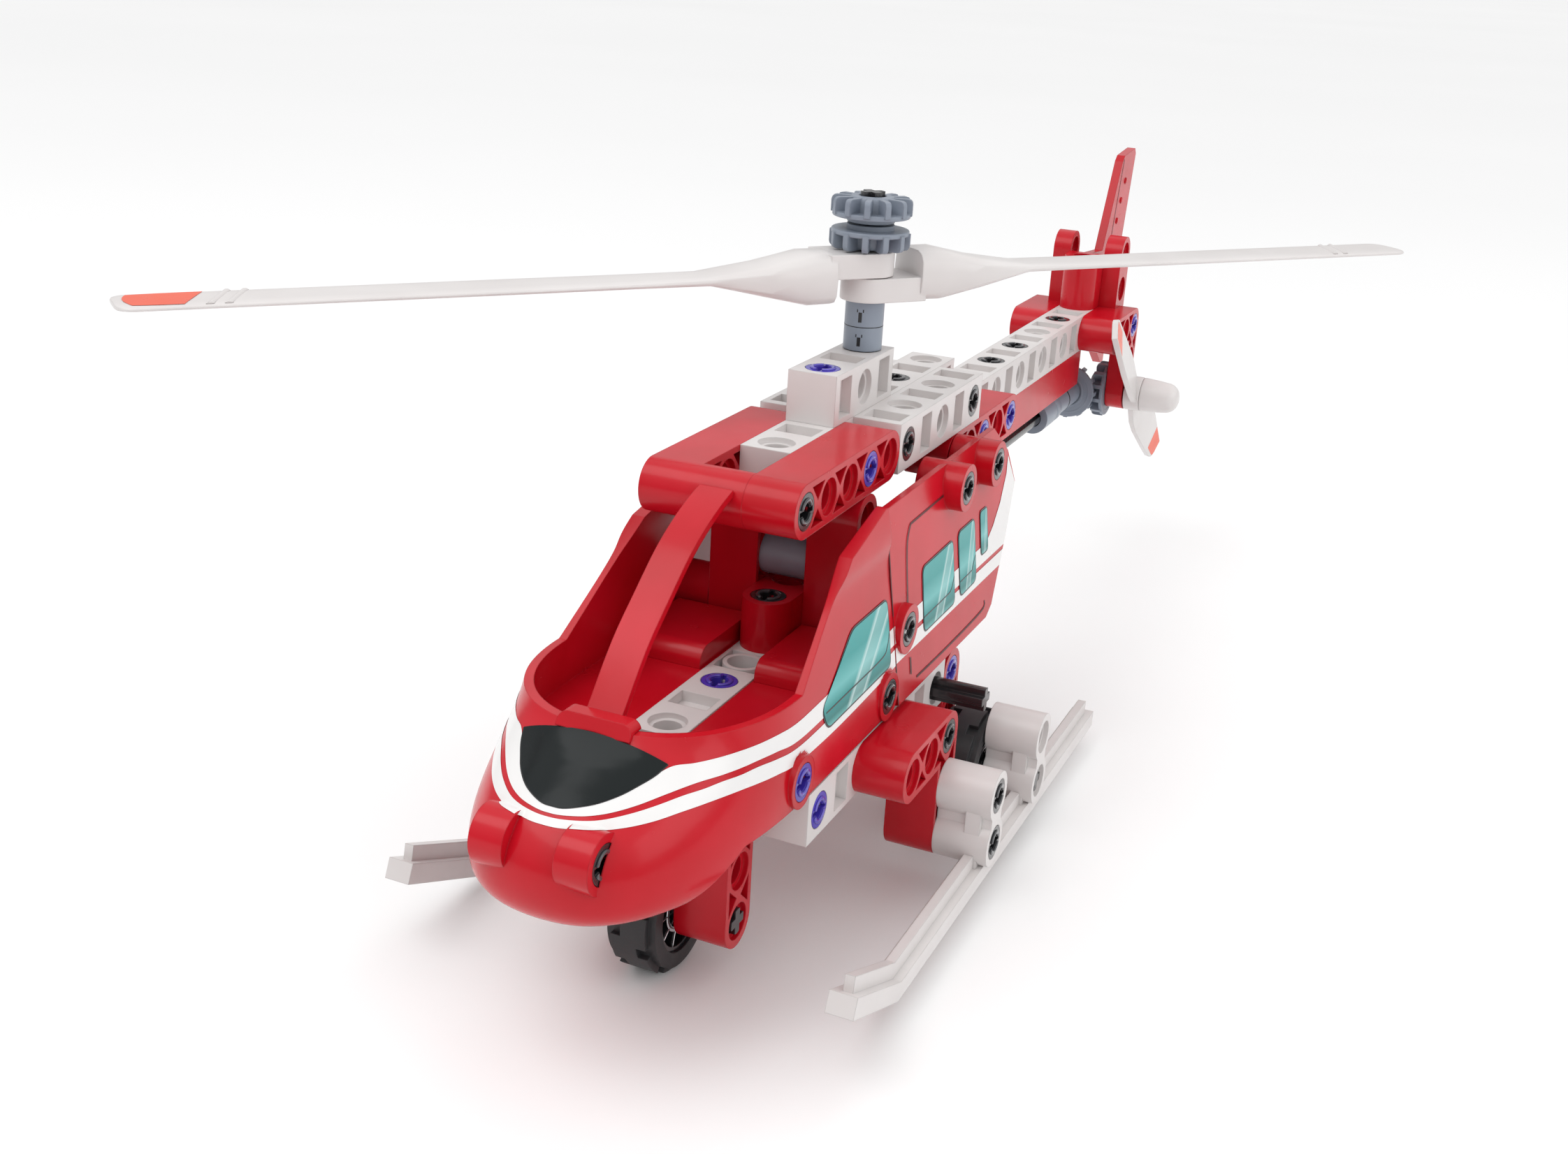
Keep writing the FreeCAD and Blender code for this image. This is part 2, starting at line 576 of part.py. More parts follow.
def export_undercarriage():
    export("lower_beam_left", square_beam(1.5, 7, 2, -5, "y"))
    export("lower_beam_right", square_beam(1.5, 7, -2, -5, "y"))
    export("chassis_rails", pair(liftarm([(1 - i, -5) for i in range(8)], 0.5, 1.5, trussed=False)))
    export("keel_beam", square_beam(4.5, 9, 0, -5, "z"))
    nose = corner_bracket(4, 0.5, 1.5)
    export("nose_bracket_left", nose)
    export("nose_bracket_right", mirrored(nose))
    outer = corner_bracket(-1, 2.5, 3.5)
    export("skid_bracket_left", outer)
    export("skid_bracket_right", mirrored(outer))
    export("rear_links", pair(liftarm([(-6, -5), (-6, -6), (-6, -7)], 1.5, 2.5)))
    runner = skid()
    export("skid_left", runner)
    export("skid_right", mirrored(runner))
    export("black_pegs", black_pegs())
    export("blue_pegs", blue_pegs())


def export_wheels():
    for name, x, y, low, high in (("nose", 2, 0, -1.5, 1.5), ("rear_left", -6, 3, 1.55, 4.55),
                                  ("rear_right", -6, -3, -4.55, -1.55)):
        export(name + "_axle", cross_bar("y", x, -7, low, high))
        export(name + "_rim", rim(x, y, -7))
        export(name + "_tyre", tyre(x, y, -7))


def clocked(shape):
    """Turn a piece about the mast so that its cross lines up with the blades' cross."""
    turned = shape.copy()
    turned.rotate(vec(mast_x, 0, 0), FreeCAD.Vector(0, 0, 1), rotor_angle)
    return turned


def export_drive():
    export("mast_axle", clocked(cross_bar("z", mast_x, 0, -2.6, 4.62)))
    collars = [bushing("z", mast_x, 0, 1.52, 2.0), bushing("z", mast_x, 0, 2.0, 2.5)]
    collars.append(bushing("z", mast_x, 0, -2.0, -0.53))
    export("mast_bushings", clocked(Part.makeCompound(collars)))
    phase = 15.0 - rotor_angle
    gears = [crown_gear("z", mast_x, 0, -2.0, -1, phase)]
    gears.append(crown_gear("z", mast_x, 0, 3.9, -1, phase, core=0.38, back=0.1))
    gears.append(crown_gear("z", mast_x, 0, 4.14, 1, phase, core=0.4, back=0.11))
    export("mast_crown_gears", clocked(Part.makeCompound(gears)))
    export("rotor_blade_a", rotor_blade(rotor_angle, 3.0))
    export("rotor_blade_b", rotor_blade(rotor_angle + 180.0, 2.5))
    export("drive_shaft", cross_bar("x", 0, shaft_z, -23.52, -6.45))
    gears = [crown_gear("x", 0, shaft_z, -7.0, 1, 0.0), crown_gear("x", 0, shaft_z, -23.0, -1, 0.0)]
    export("shaft_crown_gears", Part.makeCompound(gears))
    export("shaft_coupler", bushing("x", 0, shaft_z, -22.95, -20.45, 3.8))
    export("shaft_hangers", Part.makeCompound([shaft_hanger(-12.3), shaft_hanger(-19.4)]))
    export("tail_axle", cross_bar("y", tail_x, shaft_z, 0.48, 2.6))
    export("tail_crown_gear", crown_gear("y", tail_x, shaft_z, 0.98, -1, 15.0))
    export("tail_rotor", tail_rotor())
    export("tail_spinner", tail_spinner())


export_frame()
export_cabin()
export_undercarriage()
export_wheels()
export_drive()
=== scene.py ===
import json
import math

import bmesh
import bpy
from mathutils import Matrix, Vector
from mathutils.bvhtree import BVHTree


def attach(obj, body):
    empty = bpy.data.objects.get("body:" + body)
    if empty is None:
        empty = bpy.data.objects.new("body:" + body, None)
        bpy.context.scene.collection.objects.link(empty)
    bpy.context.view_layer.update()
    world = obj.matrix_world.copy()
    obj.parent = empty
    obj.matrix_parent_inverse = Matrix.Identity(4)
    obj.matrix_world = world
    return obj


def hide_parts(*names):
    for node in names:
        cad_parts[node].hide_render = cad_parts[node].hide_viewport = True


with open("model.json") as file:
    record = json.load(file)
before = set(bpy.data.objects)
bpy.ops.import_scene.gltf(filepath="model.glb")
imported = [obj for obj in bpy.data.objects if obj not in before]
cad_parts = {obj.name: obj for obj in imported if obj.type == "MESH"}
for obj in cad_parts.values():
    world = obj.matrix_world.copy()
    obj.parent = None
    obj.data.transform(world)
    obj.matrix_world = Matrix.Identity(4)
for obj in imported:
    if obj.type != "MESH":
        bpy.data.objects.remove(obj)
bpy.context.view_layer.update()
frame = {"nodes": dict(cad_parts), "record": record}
nodes = frame["nodes"]

PITCH = 0.01
MID_X = -10.706       # middle of the model along X, in pitches
GROUND_Z = -8.25      # floor under the wheels
MAST = (-6.0, 0.0)    # x and y of the main rotor's axis
TAIL = (-24.0, -3.0)  # x and z of the tail rotor's axis
SIDES = ((1, "left"), (-1, "right"))


def at(x, y, z):
    """Grid place, in pitches, to metres in the row frame."""
    return Vector(((x - MID_X) * PITCH, y * PITCH, (z - GROUND_Z) * PITCH))


# ------------------------------------------------------------------ materials
SMEAR_SCALE = 220.0
GRAIN_SCALE = 2600.0
GRAIN_DEPTH = 0.0002
COAT_ROUGHNESS = 0.08
MIN_ROUGHNESS = 0.02


def socket(node, name, value):
    node.inputs[name].default_value = value


def noise(tree, place, scale, detail):
    """Noise in the object's own space."""
    node = tree.nodes.new("ShaderNodeTexNoise")
    socket(node, "Scale", scale)
    socket(node, "Detail", detail)
    tree.links.new(place.outputs["Object"], node.inputs["Vector"])
    return node.outputs["Fac"]


def colour_ramp(tree, factor, stops):
    """Colour picked by a factor from (position, colour) stops in rising order."""
    node = tree.nodes.new("ShaderNodeValToRGB")
    elements = node.color_ramp.elements
    for i, (where, colour) in enumerate((stops[0], stops[-1])):
        elements[i].position = where
        elements[i].color = (*colour, 1.0)
    for where, colour in stops[1:-1]:
        elements.new(where).color = (*colour, 1.0)
    tree.links.new(factor, node.inputs["Fac"])
    return node.outputs["Color"]


def moulded(name, light, dark, rough, spread=0.08, grain=0.02, coat=0.0, edge=0.0003, cloud=60.0,
            sheen=0.5):
    """Moulded plastic: clouded colour, uneven gloss, fine grain and softened edges."""
    mat = bpy.data.materials.new(name)
    mat.use_nodes = True
    tree = mat.node_tree
    shader = tree.nodes["Principled BSDF"]
    place = tree.nodes.new("ShaderNodeTexCoord")
    colour = colour_ramp(tree, noise(tree, place, cloud, 3.0), [(0.3, dark), (0.7, light)])
    tree.links.new(colour, shader.inputs["Base Color"])
    gloss = tree.nodes.new("ShaderNodeMapRange")
    socket(gloss, "To Min", max(MIN_ROUGHNESS, rough - spread))
    socket(gloss, "To Max", rough + spread)
    tree.links.new(noise(tree, place, SMEAR_SCALE, 4.0), gloss.inputs["Value"])
    tree.links.new(gloss.outputs["Result"], shader.inputs["Roughness"])
    bump = tree.nodes.new("ShaderNodeBump")
    socket(bump, "Strength", grain)
    socket(bump, "Distance", GRAIN_DEPTH)
    tree.links.new(noise(tree, place, GRAIN_SCALE, 2.0), bump.inputs["Height"])
    if edge > 0:
        soft = tree.nodes.new("ShaderNodeBevel")
        soft.samples = 4
        socket(soft, "Radius", edge)
        tree.links.new(soft.outputs["Normal"], bump.inputs["Normal"])
    tree.links.new(bump.outputs["Normal"], shader.inputs["Normal"])
    if coat:
        socket(shader, "Coat Weight", coat)
        socket(shader, "Coat Roughness", COAT_ROUGHNESS)
    socket(shader, "Specular IOR Level", sheen)
    return mat


red = moulded("red_plastic", (0.56, 0.006, 0.018), (0.47, 0.004, 0.011), 0.24, coat=0.08, sheen=0.26)
white = moulded("white_plastic", (0.70, 0.67, 0.66), (0.65, 0.615, 0.605), 0.32)
grey = moulded("grey_plastic", (0.25, 0.285, 0.34), (0.20, 0.23, 0.285), 0.36)
black = moulded("black_plastic", (0.022, 0.022, 0.024), (0.010, 0.010, 0.012), 0.22, coat=0.3)
blue = moulded("violet_blue_plastic", (0.075, 0.05, 0.50), (0.05, 0.03, 0.36), 0.2, coat=0.3)
tyre_rubber = moulded("tyre_rubber", (0.024, 0.024, 0.026), (0.014, 0.014, 0.016), 0.5, grain=0.12)
orange = moulded("orange_red_print", (0.86, 0.10, 0.03), (0.78, 0.075, 0.02), 0.3, edge=0.0)
stripe_white = moulded("sticker_white", (0.82, 0.81, 0.80), (0.78, 0.77, 0.765), 0.24, edge=0.0)
# Black of printed outlines, also used as painted shade in seams, gaps and slots.
black_print_and_shade = moulded("sticker_black_and_shade", (0.010, 0.010, 0.011), (0.006, 0.006, 0.007), 0.25, edge=0.0)
glass_dark = moulded("sticker_dark_glass", (0.011, 0.015, 0.015), (0.006, 0.008, 0.009), 0.16,
                     edge=0.0, cloud=25.0, sheen=0.16)
chrome = moulded("bright_rim_print", (0.80, 0.80, 0.82), (0.66, 0.67, 0.70), 0.18, edge=0.0)
socket(chrome.node_tree.nodes["Principled BSDF"], "Metallic", 0.85)

by_slot = {"red": red, "white": white, "grey": grey, "black": black, "blue": blue,
           "tyre": tyre_rubber}
for part in frame["record"]["subparts"]:
    mesh = nodes[part["node"]].data
    mesh.materials.clear()
    mesh.materials.append(by_slot[part["material_slot"]])


# ------------------------------------------------------------------ building
def piece(name, verts, faces, mat, body, closed=True):
    """Mesh piece on a body. An open sheet keeps the way that its faces were given."""
    mesh = bpy.data.meshes.new(name)
    mesh.from_pydata([tuple(v) for v in verts], [], faces)
    mesh.validate()
    obj = bpy.data.objects.new(name, mesh)
    bpy.context.scene.collection.objects.link(obj)
    mesh.materials.append(mat)
    tidy = bmesh.new()
    tidy.from_mesh(mesh)
    bmesh.ops.remove_doubles(tidy, verts=tidy.verts, dist=1e-7)
    if closed:
        bmesh.ops.recalc_face_normals(tidy, faces=tidy.faces)
    tidy.to_mesh(mesh)
    tidy.free()
    for poly in mesh.polygons:
        poly.use_smooth = True
    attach(obj, body)
    return obj


def net_faces(rows, columns):
    """Quads of a net of points, given row by row."""
    return [[r * columns + c, r * columns + c + 1, (r + 1) * columns + c + 1, (r + 1) * columns + c]
            for r in range(rows - 1) for c in range(columns - 1)]


def ring_faces(base, rings, around):
    """Quads between closed rings of points, given ring by ring."""
    faces = []
    for q in range(rings - 1):
        low, high = base + q * around, base + (q + 1) * around
        for k in range(around):
            m = (k + 1) % around
            faces.append([low + k, low + m, high + m, high + k])
    return faces


def prism_faces(base, n):
    """Two ends of n points each, and the walls between them."""
    faces = [[base + k for k in range(n)], [base + n + k for k in reversed(range(n))]]
    for k in range(n):
        m = (k + 1) % n
        faces.append([base + m, base + k, base + n + k, base + n + m])
    return faces


shell_mesh = nodes["cabin_shell"].data
hull_tree = BVHTree.FromPolygons([v.co.copy() for v in shell_mesh.vertices],
                                 [list(p.vertices) for p in shell_mesh.polygons])
STICKER = 0.00007             # a sticker's height off its surface, in metres
SHELL_BOSSES = ((2, -4), (-2, -4))
BOSS_RADIUS = 0.5
BOSS_TUCK = 0.0004            # how deep a hidden sticker point lies, in metres
NOSE_START = (1.2, 0, -3.6)   # ahead of this the hull's sides turn inwards
SLOPE_START = 3.0             # ahead of this the hull's top slopes down
SLOPE_LENGTH = 1.5
SLOPE_RISE = 0.55
RAY_BACK = 0.006
RAY_REACH = 0.012


def onto_hull(point, lift):
    """Drop a grid point onto the outside of the hull and lift it off by a hair.

    A point under one of the shell's side bosses stays out of sight inside the boss.
    """
    p = at(*point)
    mid = at(*NOSE_START)
    out = Vector((max(p.x - mid.x, 0.0), p.y, 0.0))
    if point[0] < NOSE_START[0]:
        out = Vector((0.0, math.copysign(1.0, point[1]), 0.0))
    out.normalize()
    if point[0] > SLOPE_START:
        slope = min(1.0, (point[0] - SLOPE_START) / SLOPE_LENGTH)
        out = (out + Vector((0, 0, SLOPE_RISE * slope))).normalized()
    hit, normal, _, _ = hull_tree.ray_cast(p + out * RAY_BACK, -out, RAY_REACH)
    if hit is None:
        hit, normal, _, _ = hull_tree.find_nearest(p)
    if any(math.hypot(point[0] - x, point[2] - z) < BOSS_RADIUS for x, z in SHELL_BOSSES):
        return p - out * BOSS_TUCK
    if normal.dot(out) < 0:
        normal = -normal
    return hit + normal * lift


def resample(line, count):
    """Evenly spaced points along a smooth curve through the given ones."""
    pts = [Vector(p) for p in line]
    dense = []
    for i in range(len(pts) - 1):
        p0 = pts[max(i - 1, 0)]
        p1, p2 = pts[i], pts[i + 1]
        p3 = pts[min(i + 2, len(pts) - 1)]
        for k in range(12):
            t = k / 12
            dense.append(0.5 * ((2 * p1) + (p2 - p0) * t + (2 * p0 - 5 * p1 + 4 * p2 - p3) * t * t
                                + (3 * p1 - p0 - 3 * p2 + p3) * t ** 3))
    dense.append(pts[-1])
    run = [0.0]
    for a, b in zip(dense, dense[1:]):
        run.append(run[-1] + (b - a).length)
    out = []
    j = 0
    for i in range(count):
        want = run[-1] * i / (count - 1)
        while j < len(run) - 2 and run[j + 1] < want:
            j += 1
        span = run[j + 1] - run[j]
        t = (want - run[j]) / span if span > 0 else 0.0
        out.append(dense[j].lerp(dense[j + 1], t))
    return out


def band(name, edge_a, edge_b):
    """White sticker strip between two edge curves, laid on the hull."""
    along = 340
    across = 8
    verts = []
    for p, q in zip(resample(edge_a, along), resample(edge_b, along)):
        for j in range(across + 1):
            verts.append(onto_hull(tuple(p.lerp(q, j / across)), STICKER))
    piece(name, verts, net_faces(along, across + 1), stripe_white, "airframe", closed=False)


def both_sides(half):
    """A curve given from the left side to the middle, carried on to the right side."""
    return half + [(x, -y, z) for x, y, z in reversed(half[:-1])]


# ------------------------------------------------------------------ nose stripes and glass
upper_edge = [(-2.44, 2.40, -2.80), (-1.2, 2.43, -2.88), (0.6, 2.43, -2.93), (2.02, 2.40, -2.95),
              (2.62, 2.33, -2.93), (3.14, 2.21, -2.92), (3.57, 2.05, -2.91), (3.89, 1.88, -2.91),
              (4.22, 1.63, -2.92), (4.46, 1.38, -2.93), (4.74, 1.20, -3.02), (5.02, 1.04, -3.12),
              (5.27, 0.87, -3.21), (5.50, 0.62, -3.31), (5.66, 0.36, -3.37), (5.75, 0.15, -3.40),
              (5.76, 0.0, -3.40)]
thin_top = [(-2.44, 2.44, -3.14), (-1.2, 2.46, -3.20), (0.6, 2.46, -3.26), (2.06, 2.43, -3.26),
            (2.65, 2.36, -3.20), (3.14, 2.25, -3.17), (3.55, 2.12, -3.17), (3.92, 1.97, -3.17),
            (4.36, 1.73, -3.18), (4.80, 1.46, -3.24), (5.20, 1.17, -3.33), (5.50, 0.88, -3.40),
            (5.70, 0.62, -3.43), (5.80, 0.38, -3.45), (5.86, 0.15, -3.46), (5.87, 0.0, -3.46)]
thin_low = [(-2.44, 2.45, -3.24), (-1.2, 2.47, -3.31), (0.6, 2.47, -3.37), (2.08, 2.45, -3.37),
            (2.68, 2.38, -3.32), (3.17, 2.27, -3.27), (3.59, 2.14, -3.27), (3.96, 2.00, -3.26),
            (4.30, 1.84, -3.28), (4.62, 1.65, -3.30), (5.01, 1.40, -3.36), (5.33, 1.14, -3.42),
            (5.62, 0.84, -3.47), (5.78, 0.58, -3.49), (5.89, 0.25, -3.50), (5.92, 0.0, -3.50)]
lower_edge = [(-2.44, 2.48, -3.56), (-1.2, 2.50, -3.62), (0.6, 2.52, -3.66), (2.24, 2.52, -3.62),
              (2.73, 2.42, -3.57), (3.67, 2.19, -3.49), (4.41, 1.90, -3.48), (4.78, 1.70, -3.50),
              (5.16, 1.46, -3.54), (5.50, 1.17, -3.57), (5.78, 0.84, -3.58), (5.93, 0.52, -3.58),
              (6.01, 0.25, -3.59), (6.03, 0.0, -3.59)]
band("nose_stripe_upper", both_sides(upper_edge), both_sides(thin_top))
band("nose_stripe_lower", both_sides(thin_low), both_sides(lower_edge))


def glass_half(grow):
    """Half outline of the nose glass, from the rim round to the tip."""
    line = [(4.50, 1.30, -2.90)] + upper_edge[-7:]
    return [(x + grow * 0.6, y + grow, z) if y > 0.05 else (x + grow, y, z) for x, y, z in line]


def glass(name, grow, lift, mat):
    """Nose glass as level rows from one side to the other, bulged a little at the rim."""
    rows = 34
    rim_rows = 6
    across = 24
    verts = []
    for r, p in enumerate(resample(glass_half(grow), rows)):
        for j in range(across + 1):
            s = 1.0 - 2.0 * j / across
            crown = 1 - s * s
            x = p.x + 0.055 * crown * max(0.0, 1 - r / rim_rows)
            verts.append(onto_hull((x, p.y * s, p.z + 0.25 * crown * (1 - r / rows)), lift))
    piece(name, verts, net_faces(rows, across + 1), mat, "airframe", closed=False)


glass("nose_glass_outline", 0.025, STICKER * 1.6, black_print_and_shade)
glass("nose_glass", 0.0, STICKER * 2.4, glass_dark)


# ------------------------------------------------------------------ side windows and stripes
PANEL_LEAN = math.radians(8.11)
PANEL_TOP = (2.05, -0.5)      # y and z of the side panel's outer face, near its top
SEAM_X = -2.475               # line between the cabin shell and the side panels


def panel_y(z):
    """Half-width of the panels' outer faces at a height."""
    return PANEL_TOP[0] + math.tan(PANEL_LEAN) * (PANEL_TOP[1] - z)


def rounded(corners, radius, steps=6):
    """Outline with its corners rounded off."""
    out = []
    n = len(corners)
    for i in range(n):
        p = Vector(corners[i])
        a = Vector(corners[i - 1]) - p
        b = Vector(corners[(i + 1) % n]) - p
        r = min(radius, a.length * 0.45, b.length * 0.45)
        start = p + a.normalized() * r
        end = p + b.normalized() * r
        for k in range(steps + 1):
            t = k / steps
            out.append(start * (1 - t) ** 2 + p * (2 * t * (1 - t)) + end * t * t)
    return out


def side_point(x, z, side, lift):
    """Point on the cabin's outer side, on the shell ahead of the seam and on the panel behind."""
    shell_back, shell_y = -2.45, 2.45
    if x > shell_back:
        return onto_hull((x, side * shell_y, z), lift)
    out = Vector((0, side * math.cos(PANEL_LEAN), math.sin(PANEL_LEAN)))
    return at(x, side * panel_y(z), z) + out * lift


def side_sticker(name, outline, mat, layer, side):
    """Flat sticker of any outline, cut into small cells and laid on the cabin's side."""
    cell = 0.2
    net = bmesh.new()
    net.faces.new([net.verts.new((q[0], 0.0, q[1])) for q in outline])
    xs = [q[0] for q in outline]
    zs = [q[1] for q in outline]
    for lo, hi, normal in ((min(xs), max(xs), (1, 0, 0)), (min(zs), max(zs), (0, 0, 1))):
        k = lo + cell
        while k < hi - 0.01:
            geom = net.verts[:] + net.edges[:] + net.faces[:]
            spot = (k, 0, 0) if normal[0] else (0, 0, k)
            bmesh.ops.bisect_plane(net, geom=geom, plane_co=spot, plane_no=normal)
            k += cell
    bmesh.ops.triangulate(net, faces=net.faces[:])
    net.verts.index_update()
    verts = [side_point(v.co.x, v.co.z, side, STICKER * layer) for v in net.verts]
    faces = [[v.index for v in f.verts] for f in net.faces]
    net.free()
    face_out(piece(name, verts, faces, mat, "airframe", closed=False), side)


def face_out(obj, side):
    """Make every face of a side sticker look away from the cabin."""
    if obj.data.polygons and sum(p.normal.y * p.area for p in obj.data.polygons) * side < 0:
        obj.data.flip_normals()


def side_line(name, points, width, mat, layer, side):
    """Thin line along the cabin's side, such as the painted shade of a groove or seam, or a printed
    edge.
    """
    steps_per_point = 14
    line = resample([(x, 0.0, z) for x, z in points], steps_per_point * len(points))
    verts = []
    for i, q in enumerate(line):
        ahead_of = line[min(i + 1, len(line) - 1)] - line[max(i - 1, 0)]
        across = Vector((-ahead_of.z, 0, ahead_of.x)).normalized() * (width / 2)
        for r in (q - across, q + across):
            verts.append(side_point(r.x, r.z, side, STICKER * layer))
    faces = [[2 * i, 2 * i + 1, 2 * i + 3, 2 * i + 2] for i in range(len(line) - 1)]
    face_out(piece(name, verts, faces, mat, "airframe", closed=False), side)


def window_print_and_glare():
    """Printed window: pale above, deep teal below, crossed by slanting glare that is painted
    reflection.
    """
    mat = moulded("window_print_and_glare", (0.36, 0.62, 0.60), (0.30, 0.57, 0.55), 0.18, edge=0.0,
                  sheen=0.25)
    tree = mat.node_tree
    place = tree.nodes.new("ShaderNodeTexCoord")
    parts = tree.nodes.new("ShaderNodeSeparateXYZ")
    tree.links.new(place.outputs["Generated"], parts.inputs["Vector"])
    teals = colour_ramp(tree, parts.outputs["Z"], [
        (0.0, (0.10, 0.40, 0.38)), (0.09, (0.003, 0.17, 0.16)), (0.19, (0.004, 0.22, 0.21)),
        (0.25, (0.006, 0.26, 0.25)), (0.42, (0.12, 0.46, 0.45)), (0.70, (0.02, 0.30, 0.29)),
        (1.0, (0.04, 0.34, 0.33))])
    # Painted reflection: slanting bands of glare mix the printed teal towards a pale teal.
    slant = tree.nodes.new("ShaderNodeMath")
    slant.operation = "MULTIPLY_ADD"
    slant.inputs[1].default_value = 0.55
    tree.links.new(parts.outputs["Z"], slant.inputs[0])
    tree.links.new(parts.outputs["X"], slant.inputs[2])
    glare_stops = ((0.0, 0.0), (0.40, 0.0), (0.46, 0.55), (0.48, 0.15), (0.64, 0.2), (0.66, 0.6),
                   (0.72, 0.0), (1.0, 0.0))
    glare = colour_ramp(tree, slant.outputs["Value"],
                        [(where, (much, much, much)) for where, much in glare_stops])
    mix = tree.nodes.new("ShaderNodeMix")
    mix.data_type = "RGBA"
    tree.links.new(glare, mix.inputs["Factor"])
    tree.links.new(teals, mix.inputs["A"])
    mix.inputs["B"].default_value = (0.72, 0.88, 0.87, 1)
    tree.links.new(mix.outputs["Result"], tree.nodes["Principled BSDF"].inputs["Base Color"])
    return mat


teal = window_print_and_glare()
# Painted shade: dark red laid where grooves and seams are in shade.
groove_and_seam_shade = moulded("groove_shadow", (0.10, 0.003, 0.006), (0.06, 0.002, 0.004), 0.5, edge=0.0)
windows = {
    "front": [(-0.55, -2.20), (-2.22, -2.19), (-2.18, -3.44), (0.83, -3.50), (1.00, -3.10)],
    "middle": [(-4.14, -2.17), (-5.92, -2.13), (-5.84, -3.40), (-4.02, -3.42)],
    "rear": [(-6.28, -2.08), (-7.30, -2.06), (-7.22, -3.35), (-6.20, -3.39)],
    "small": [(-7.70, -2.03), (-8.14, -2.03), (-8.08, -2.93), (-7.64, -2.94)],
}


def grown(corners, by):
    """Outline moved outwards from its middle."""
    mid = sum((Vector(c) for c in corners), Vector((0, 0))) / len(corners)
    out = []
    for c in corners:
        away = Vector(c) - mid
        out.append((c[0] + math.copysign(by, away.x), c[1] + math.copysign(by, away.y)))
    return out


for side, word in SIDES:
    upper = [(-2.5, -2.81), (-8.02, -2.78), (-8.52, -2.55), (-9.07, -2.18), (-9.60, -1.66),
             (-9.76, -1.30), (-10.17, -2.0), (-9.28, -3.08), (-9.2, -3.15), (-2.5, -3.15)]
    lower = [(-2.5, -3.24), (-9.12, -3.24), (-8.86, -3.52), (-2.5, -3.54)]
    side_sticker("panel_stripe_upper_" + word, upper, stripe_white, 1.0, side)
    side_sticker("panel_stripe_lower_" + word, lower, stripe_white, 1.0, side)
    for key, corners in windows.items():
        radius = 0.16 if key != "small" else 0.1
        back = rounded(grown(corners, 0.035), radius + 0.03)
        side_sticker("window_edge_%s_%s" % (key, word), back, black_print_and_shade, 1.8, side)
        side_sticker("window_%s_%s" % (key, word), rounded(corners, radius), teal, 2.6, side)
    ledge = [(0.86, -3.22), (-0.4, -3.2), (-1.75, -3.17), (-2.05, -3.05), (-2.2, -2.8)]
    side_line("window_ledge_front_" + word, ledge, 0.028, black_print_and_shade, 3.2, side)
    for key, x0, x1, z in (("middle", -4.05, -5.88, -3.12), ("rear", -6.24, -7.24, -3.08)):
        ledge = [(x0, z - 0.02), (x1 * 0.7 + x0 * 0.3, z), (x1 + 0.22, z + 0.04), (x1, z + 0.26)]
        side_line("window_ledge_%s_%s" % (key, word), ledge, 0.026, black_print_and_shade, 3.2, side)
    for key, z0, z1 in (("top", -0.62, -2.6), ("foot", -3.5, -4.38)):
        side_line("seam_shadow_%s_%s" % (key, word), [(SEAM_X, z0), (SEAM_X, z1)], 0.045,
                  groove_and_seam_shade, 1.2, side)
    # Painted shade: dark strips where the door's groove lies in shade.
    groove = [(-9.2, -1.18), (-6.6, -1.08), (-3.62, -1.14)]
    side_line("door_groove_shade_top_" + word, groove, 0.05, groove_and_seam_shade, 1.2, side)
    groove = [(-3.62, -1.14), (-3.38, -1.5), (-3.26, -2.4), (-3.24, -2.7)]
    side_line("door_groove_shade_front_" + word, groove, 0.05, groove_and_seam_shade, 2.2, side)
    side_line("door_groove_shade_foot_" + word, [(-3.22, -3.66), (-3.2, -4.0)], 0.06, groove_and_seam_shade, 2.2, side)
    groove = [(-3.5, -4.16), (-5.4, -4.18), (-7.5, -4.14), (-7.72, -3.98)]
    side_line("door_groove_shade_low_" + word, groove, 0.05, groove_and_seam_shade, 1.2, side)


# ------------------------------------------------------------------ gears
def turned(point, axis, centre, toward):
    """Place a point given as (along, across, up) round an axis of the model."""
    u, v, h = point
    if axis == "z":
        return at(centre[0] + u, centre[1] + v, centre[2] + toward * h)
    if axis == "x":
        return at(centre[0] + toward * h, centre[1] + u, centre[2] + v)
    return at(centre[0] + u, centre[1] + toward * h, centre[2] + v)


def spin_profile(profile, steps=64):
    """Closed lathe form from (radius, height) pairs."""
    verts = []
    faces = []
    n = len(profile)
    for i in range(steps):
        a = 2 * math.pi * i / steps
        verts += [(r * math.cos(a), r * math.sin(a), h) for r, h in profile]
    for i in range(steps):
        k = (i + 1) % steps
        for j in range(n - 1):
            faces.append([i * n + j, k * n + j, k * n + j + 1, i * n + j + 1])
    return verts, faces


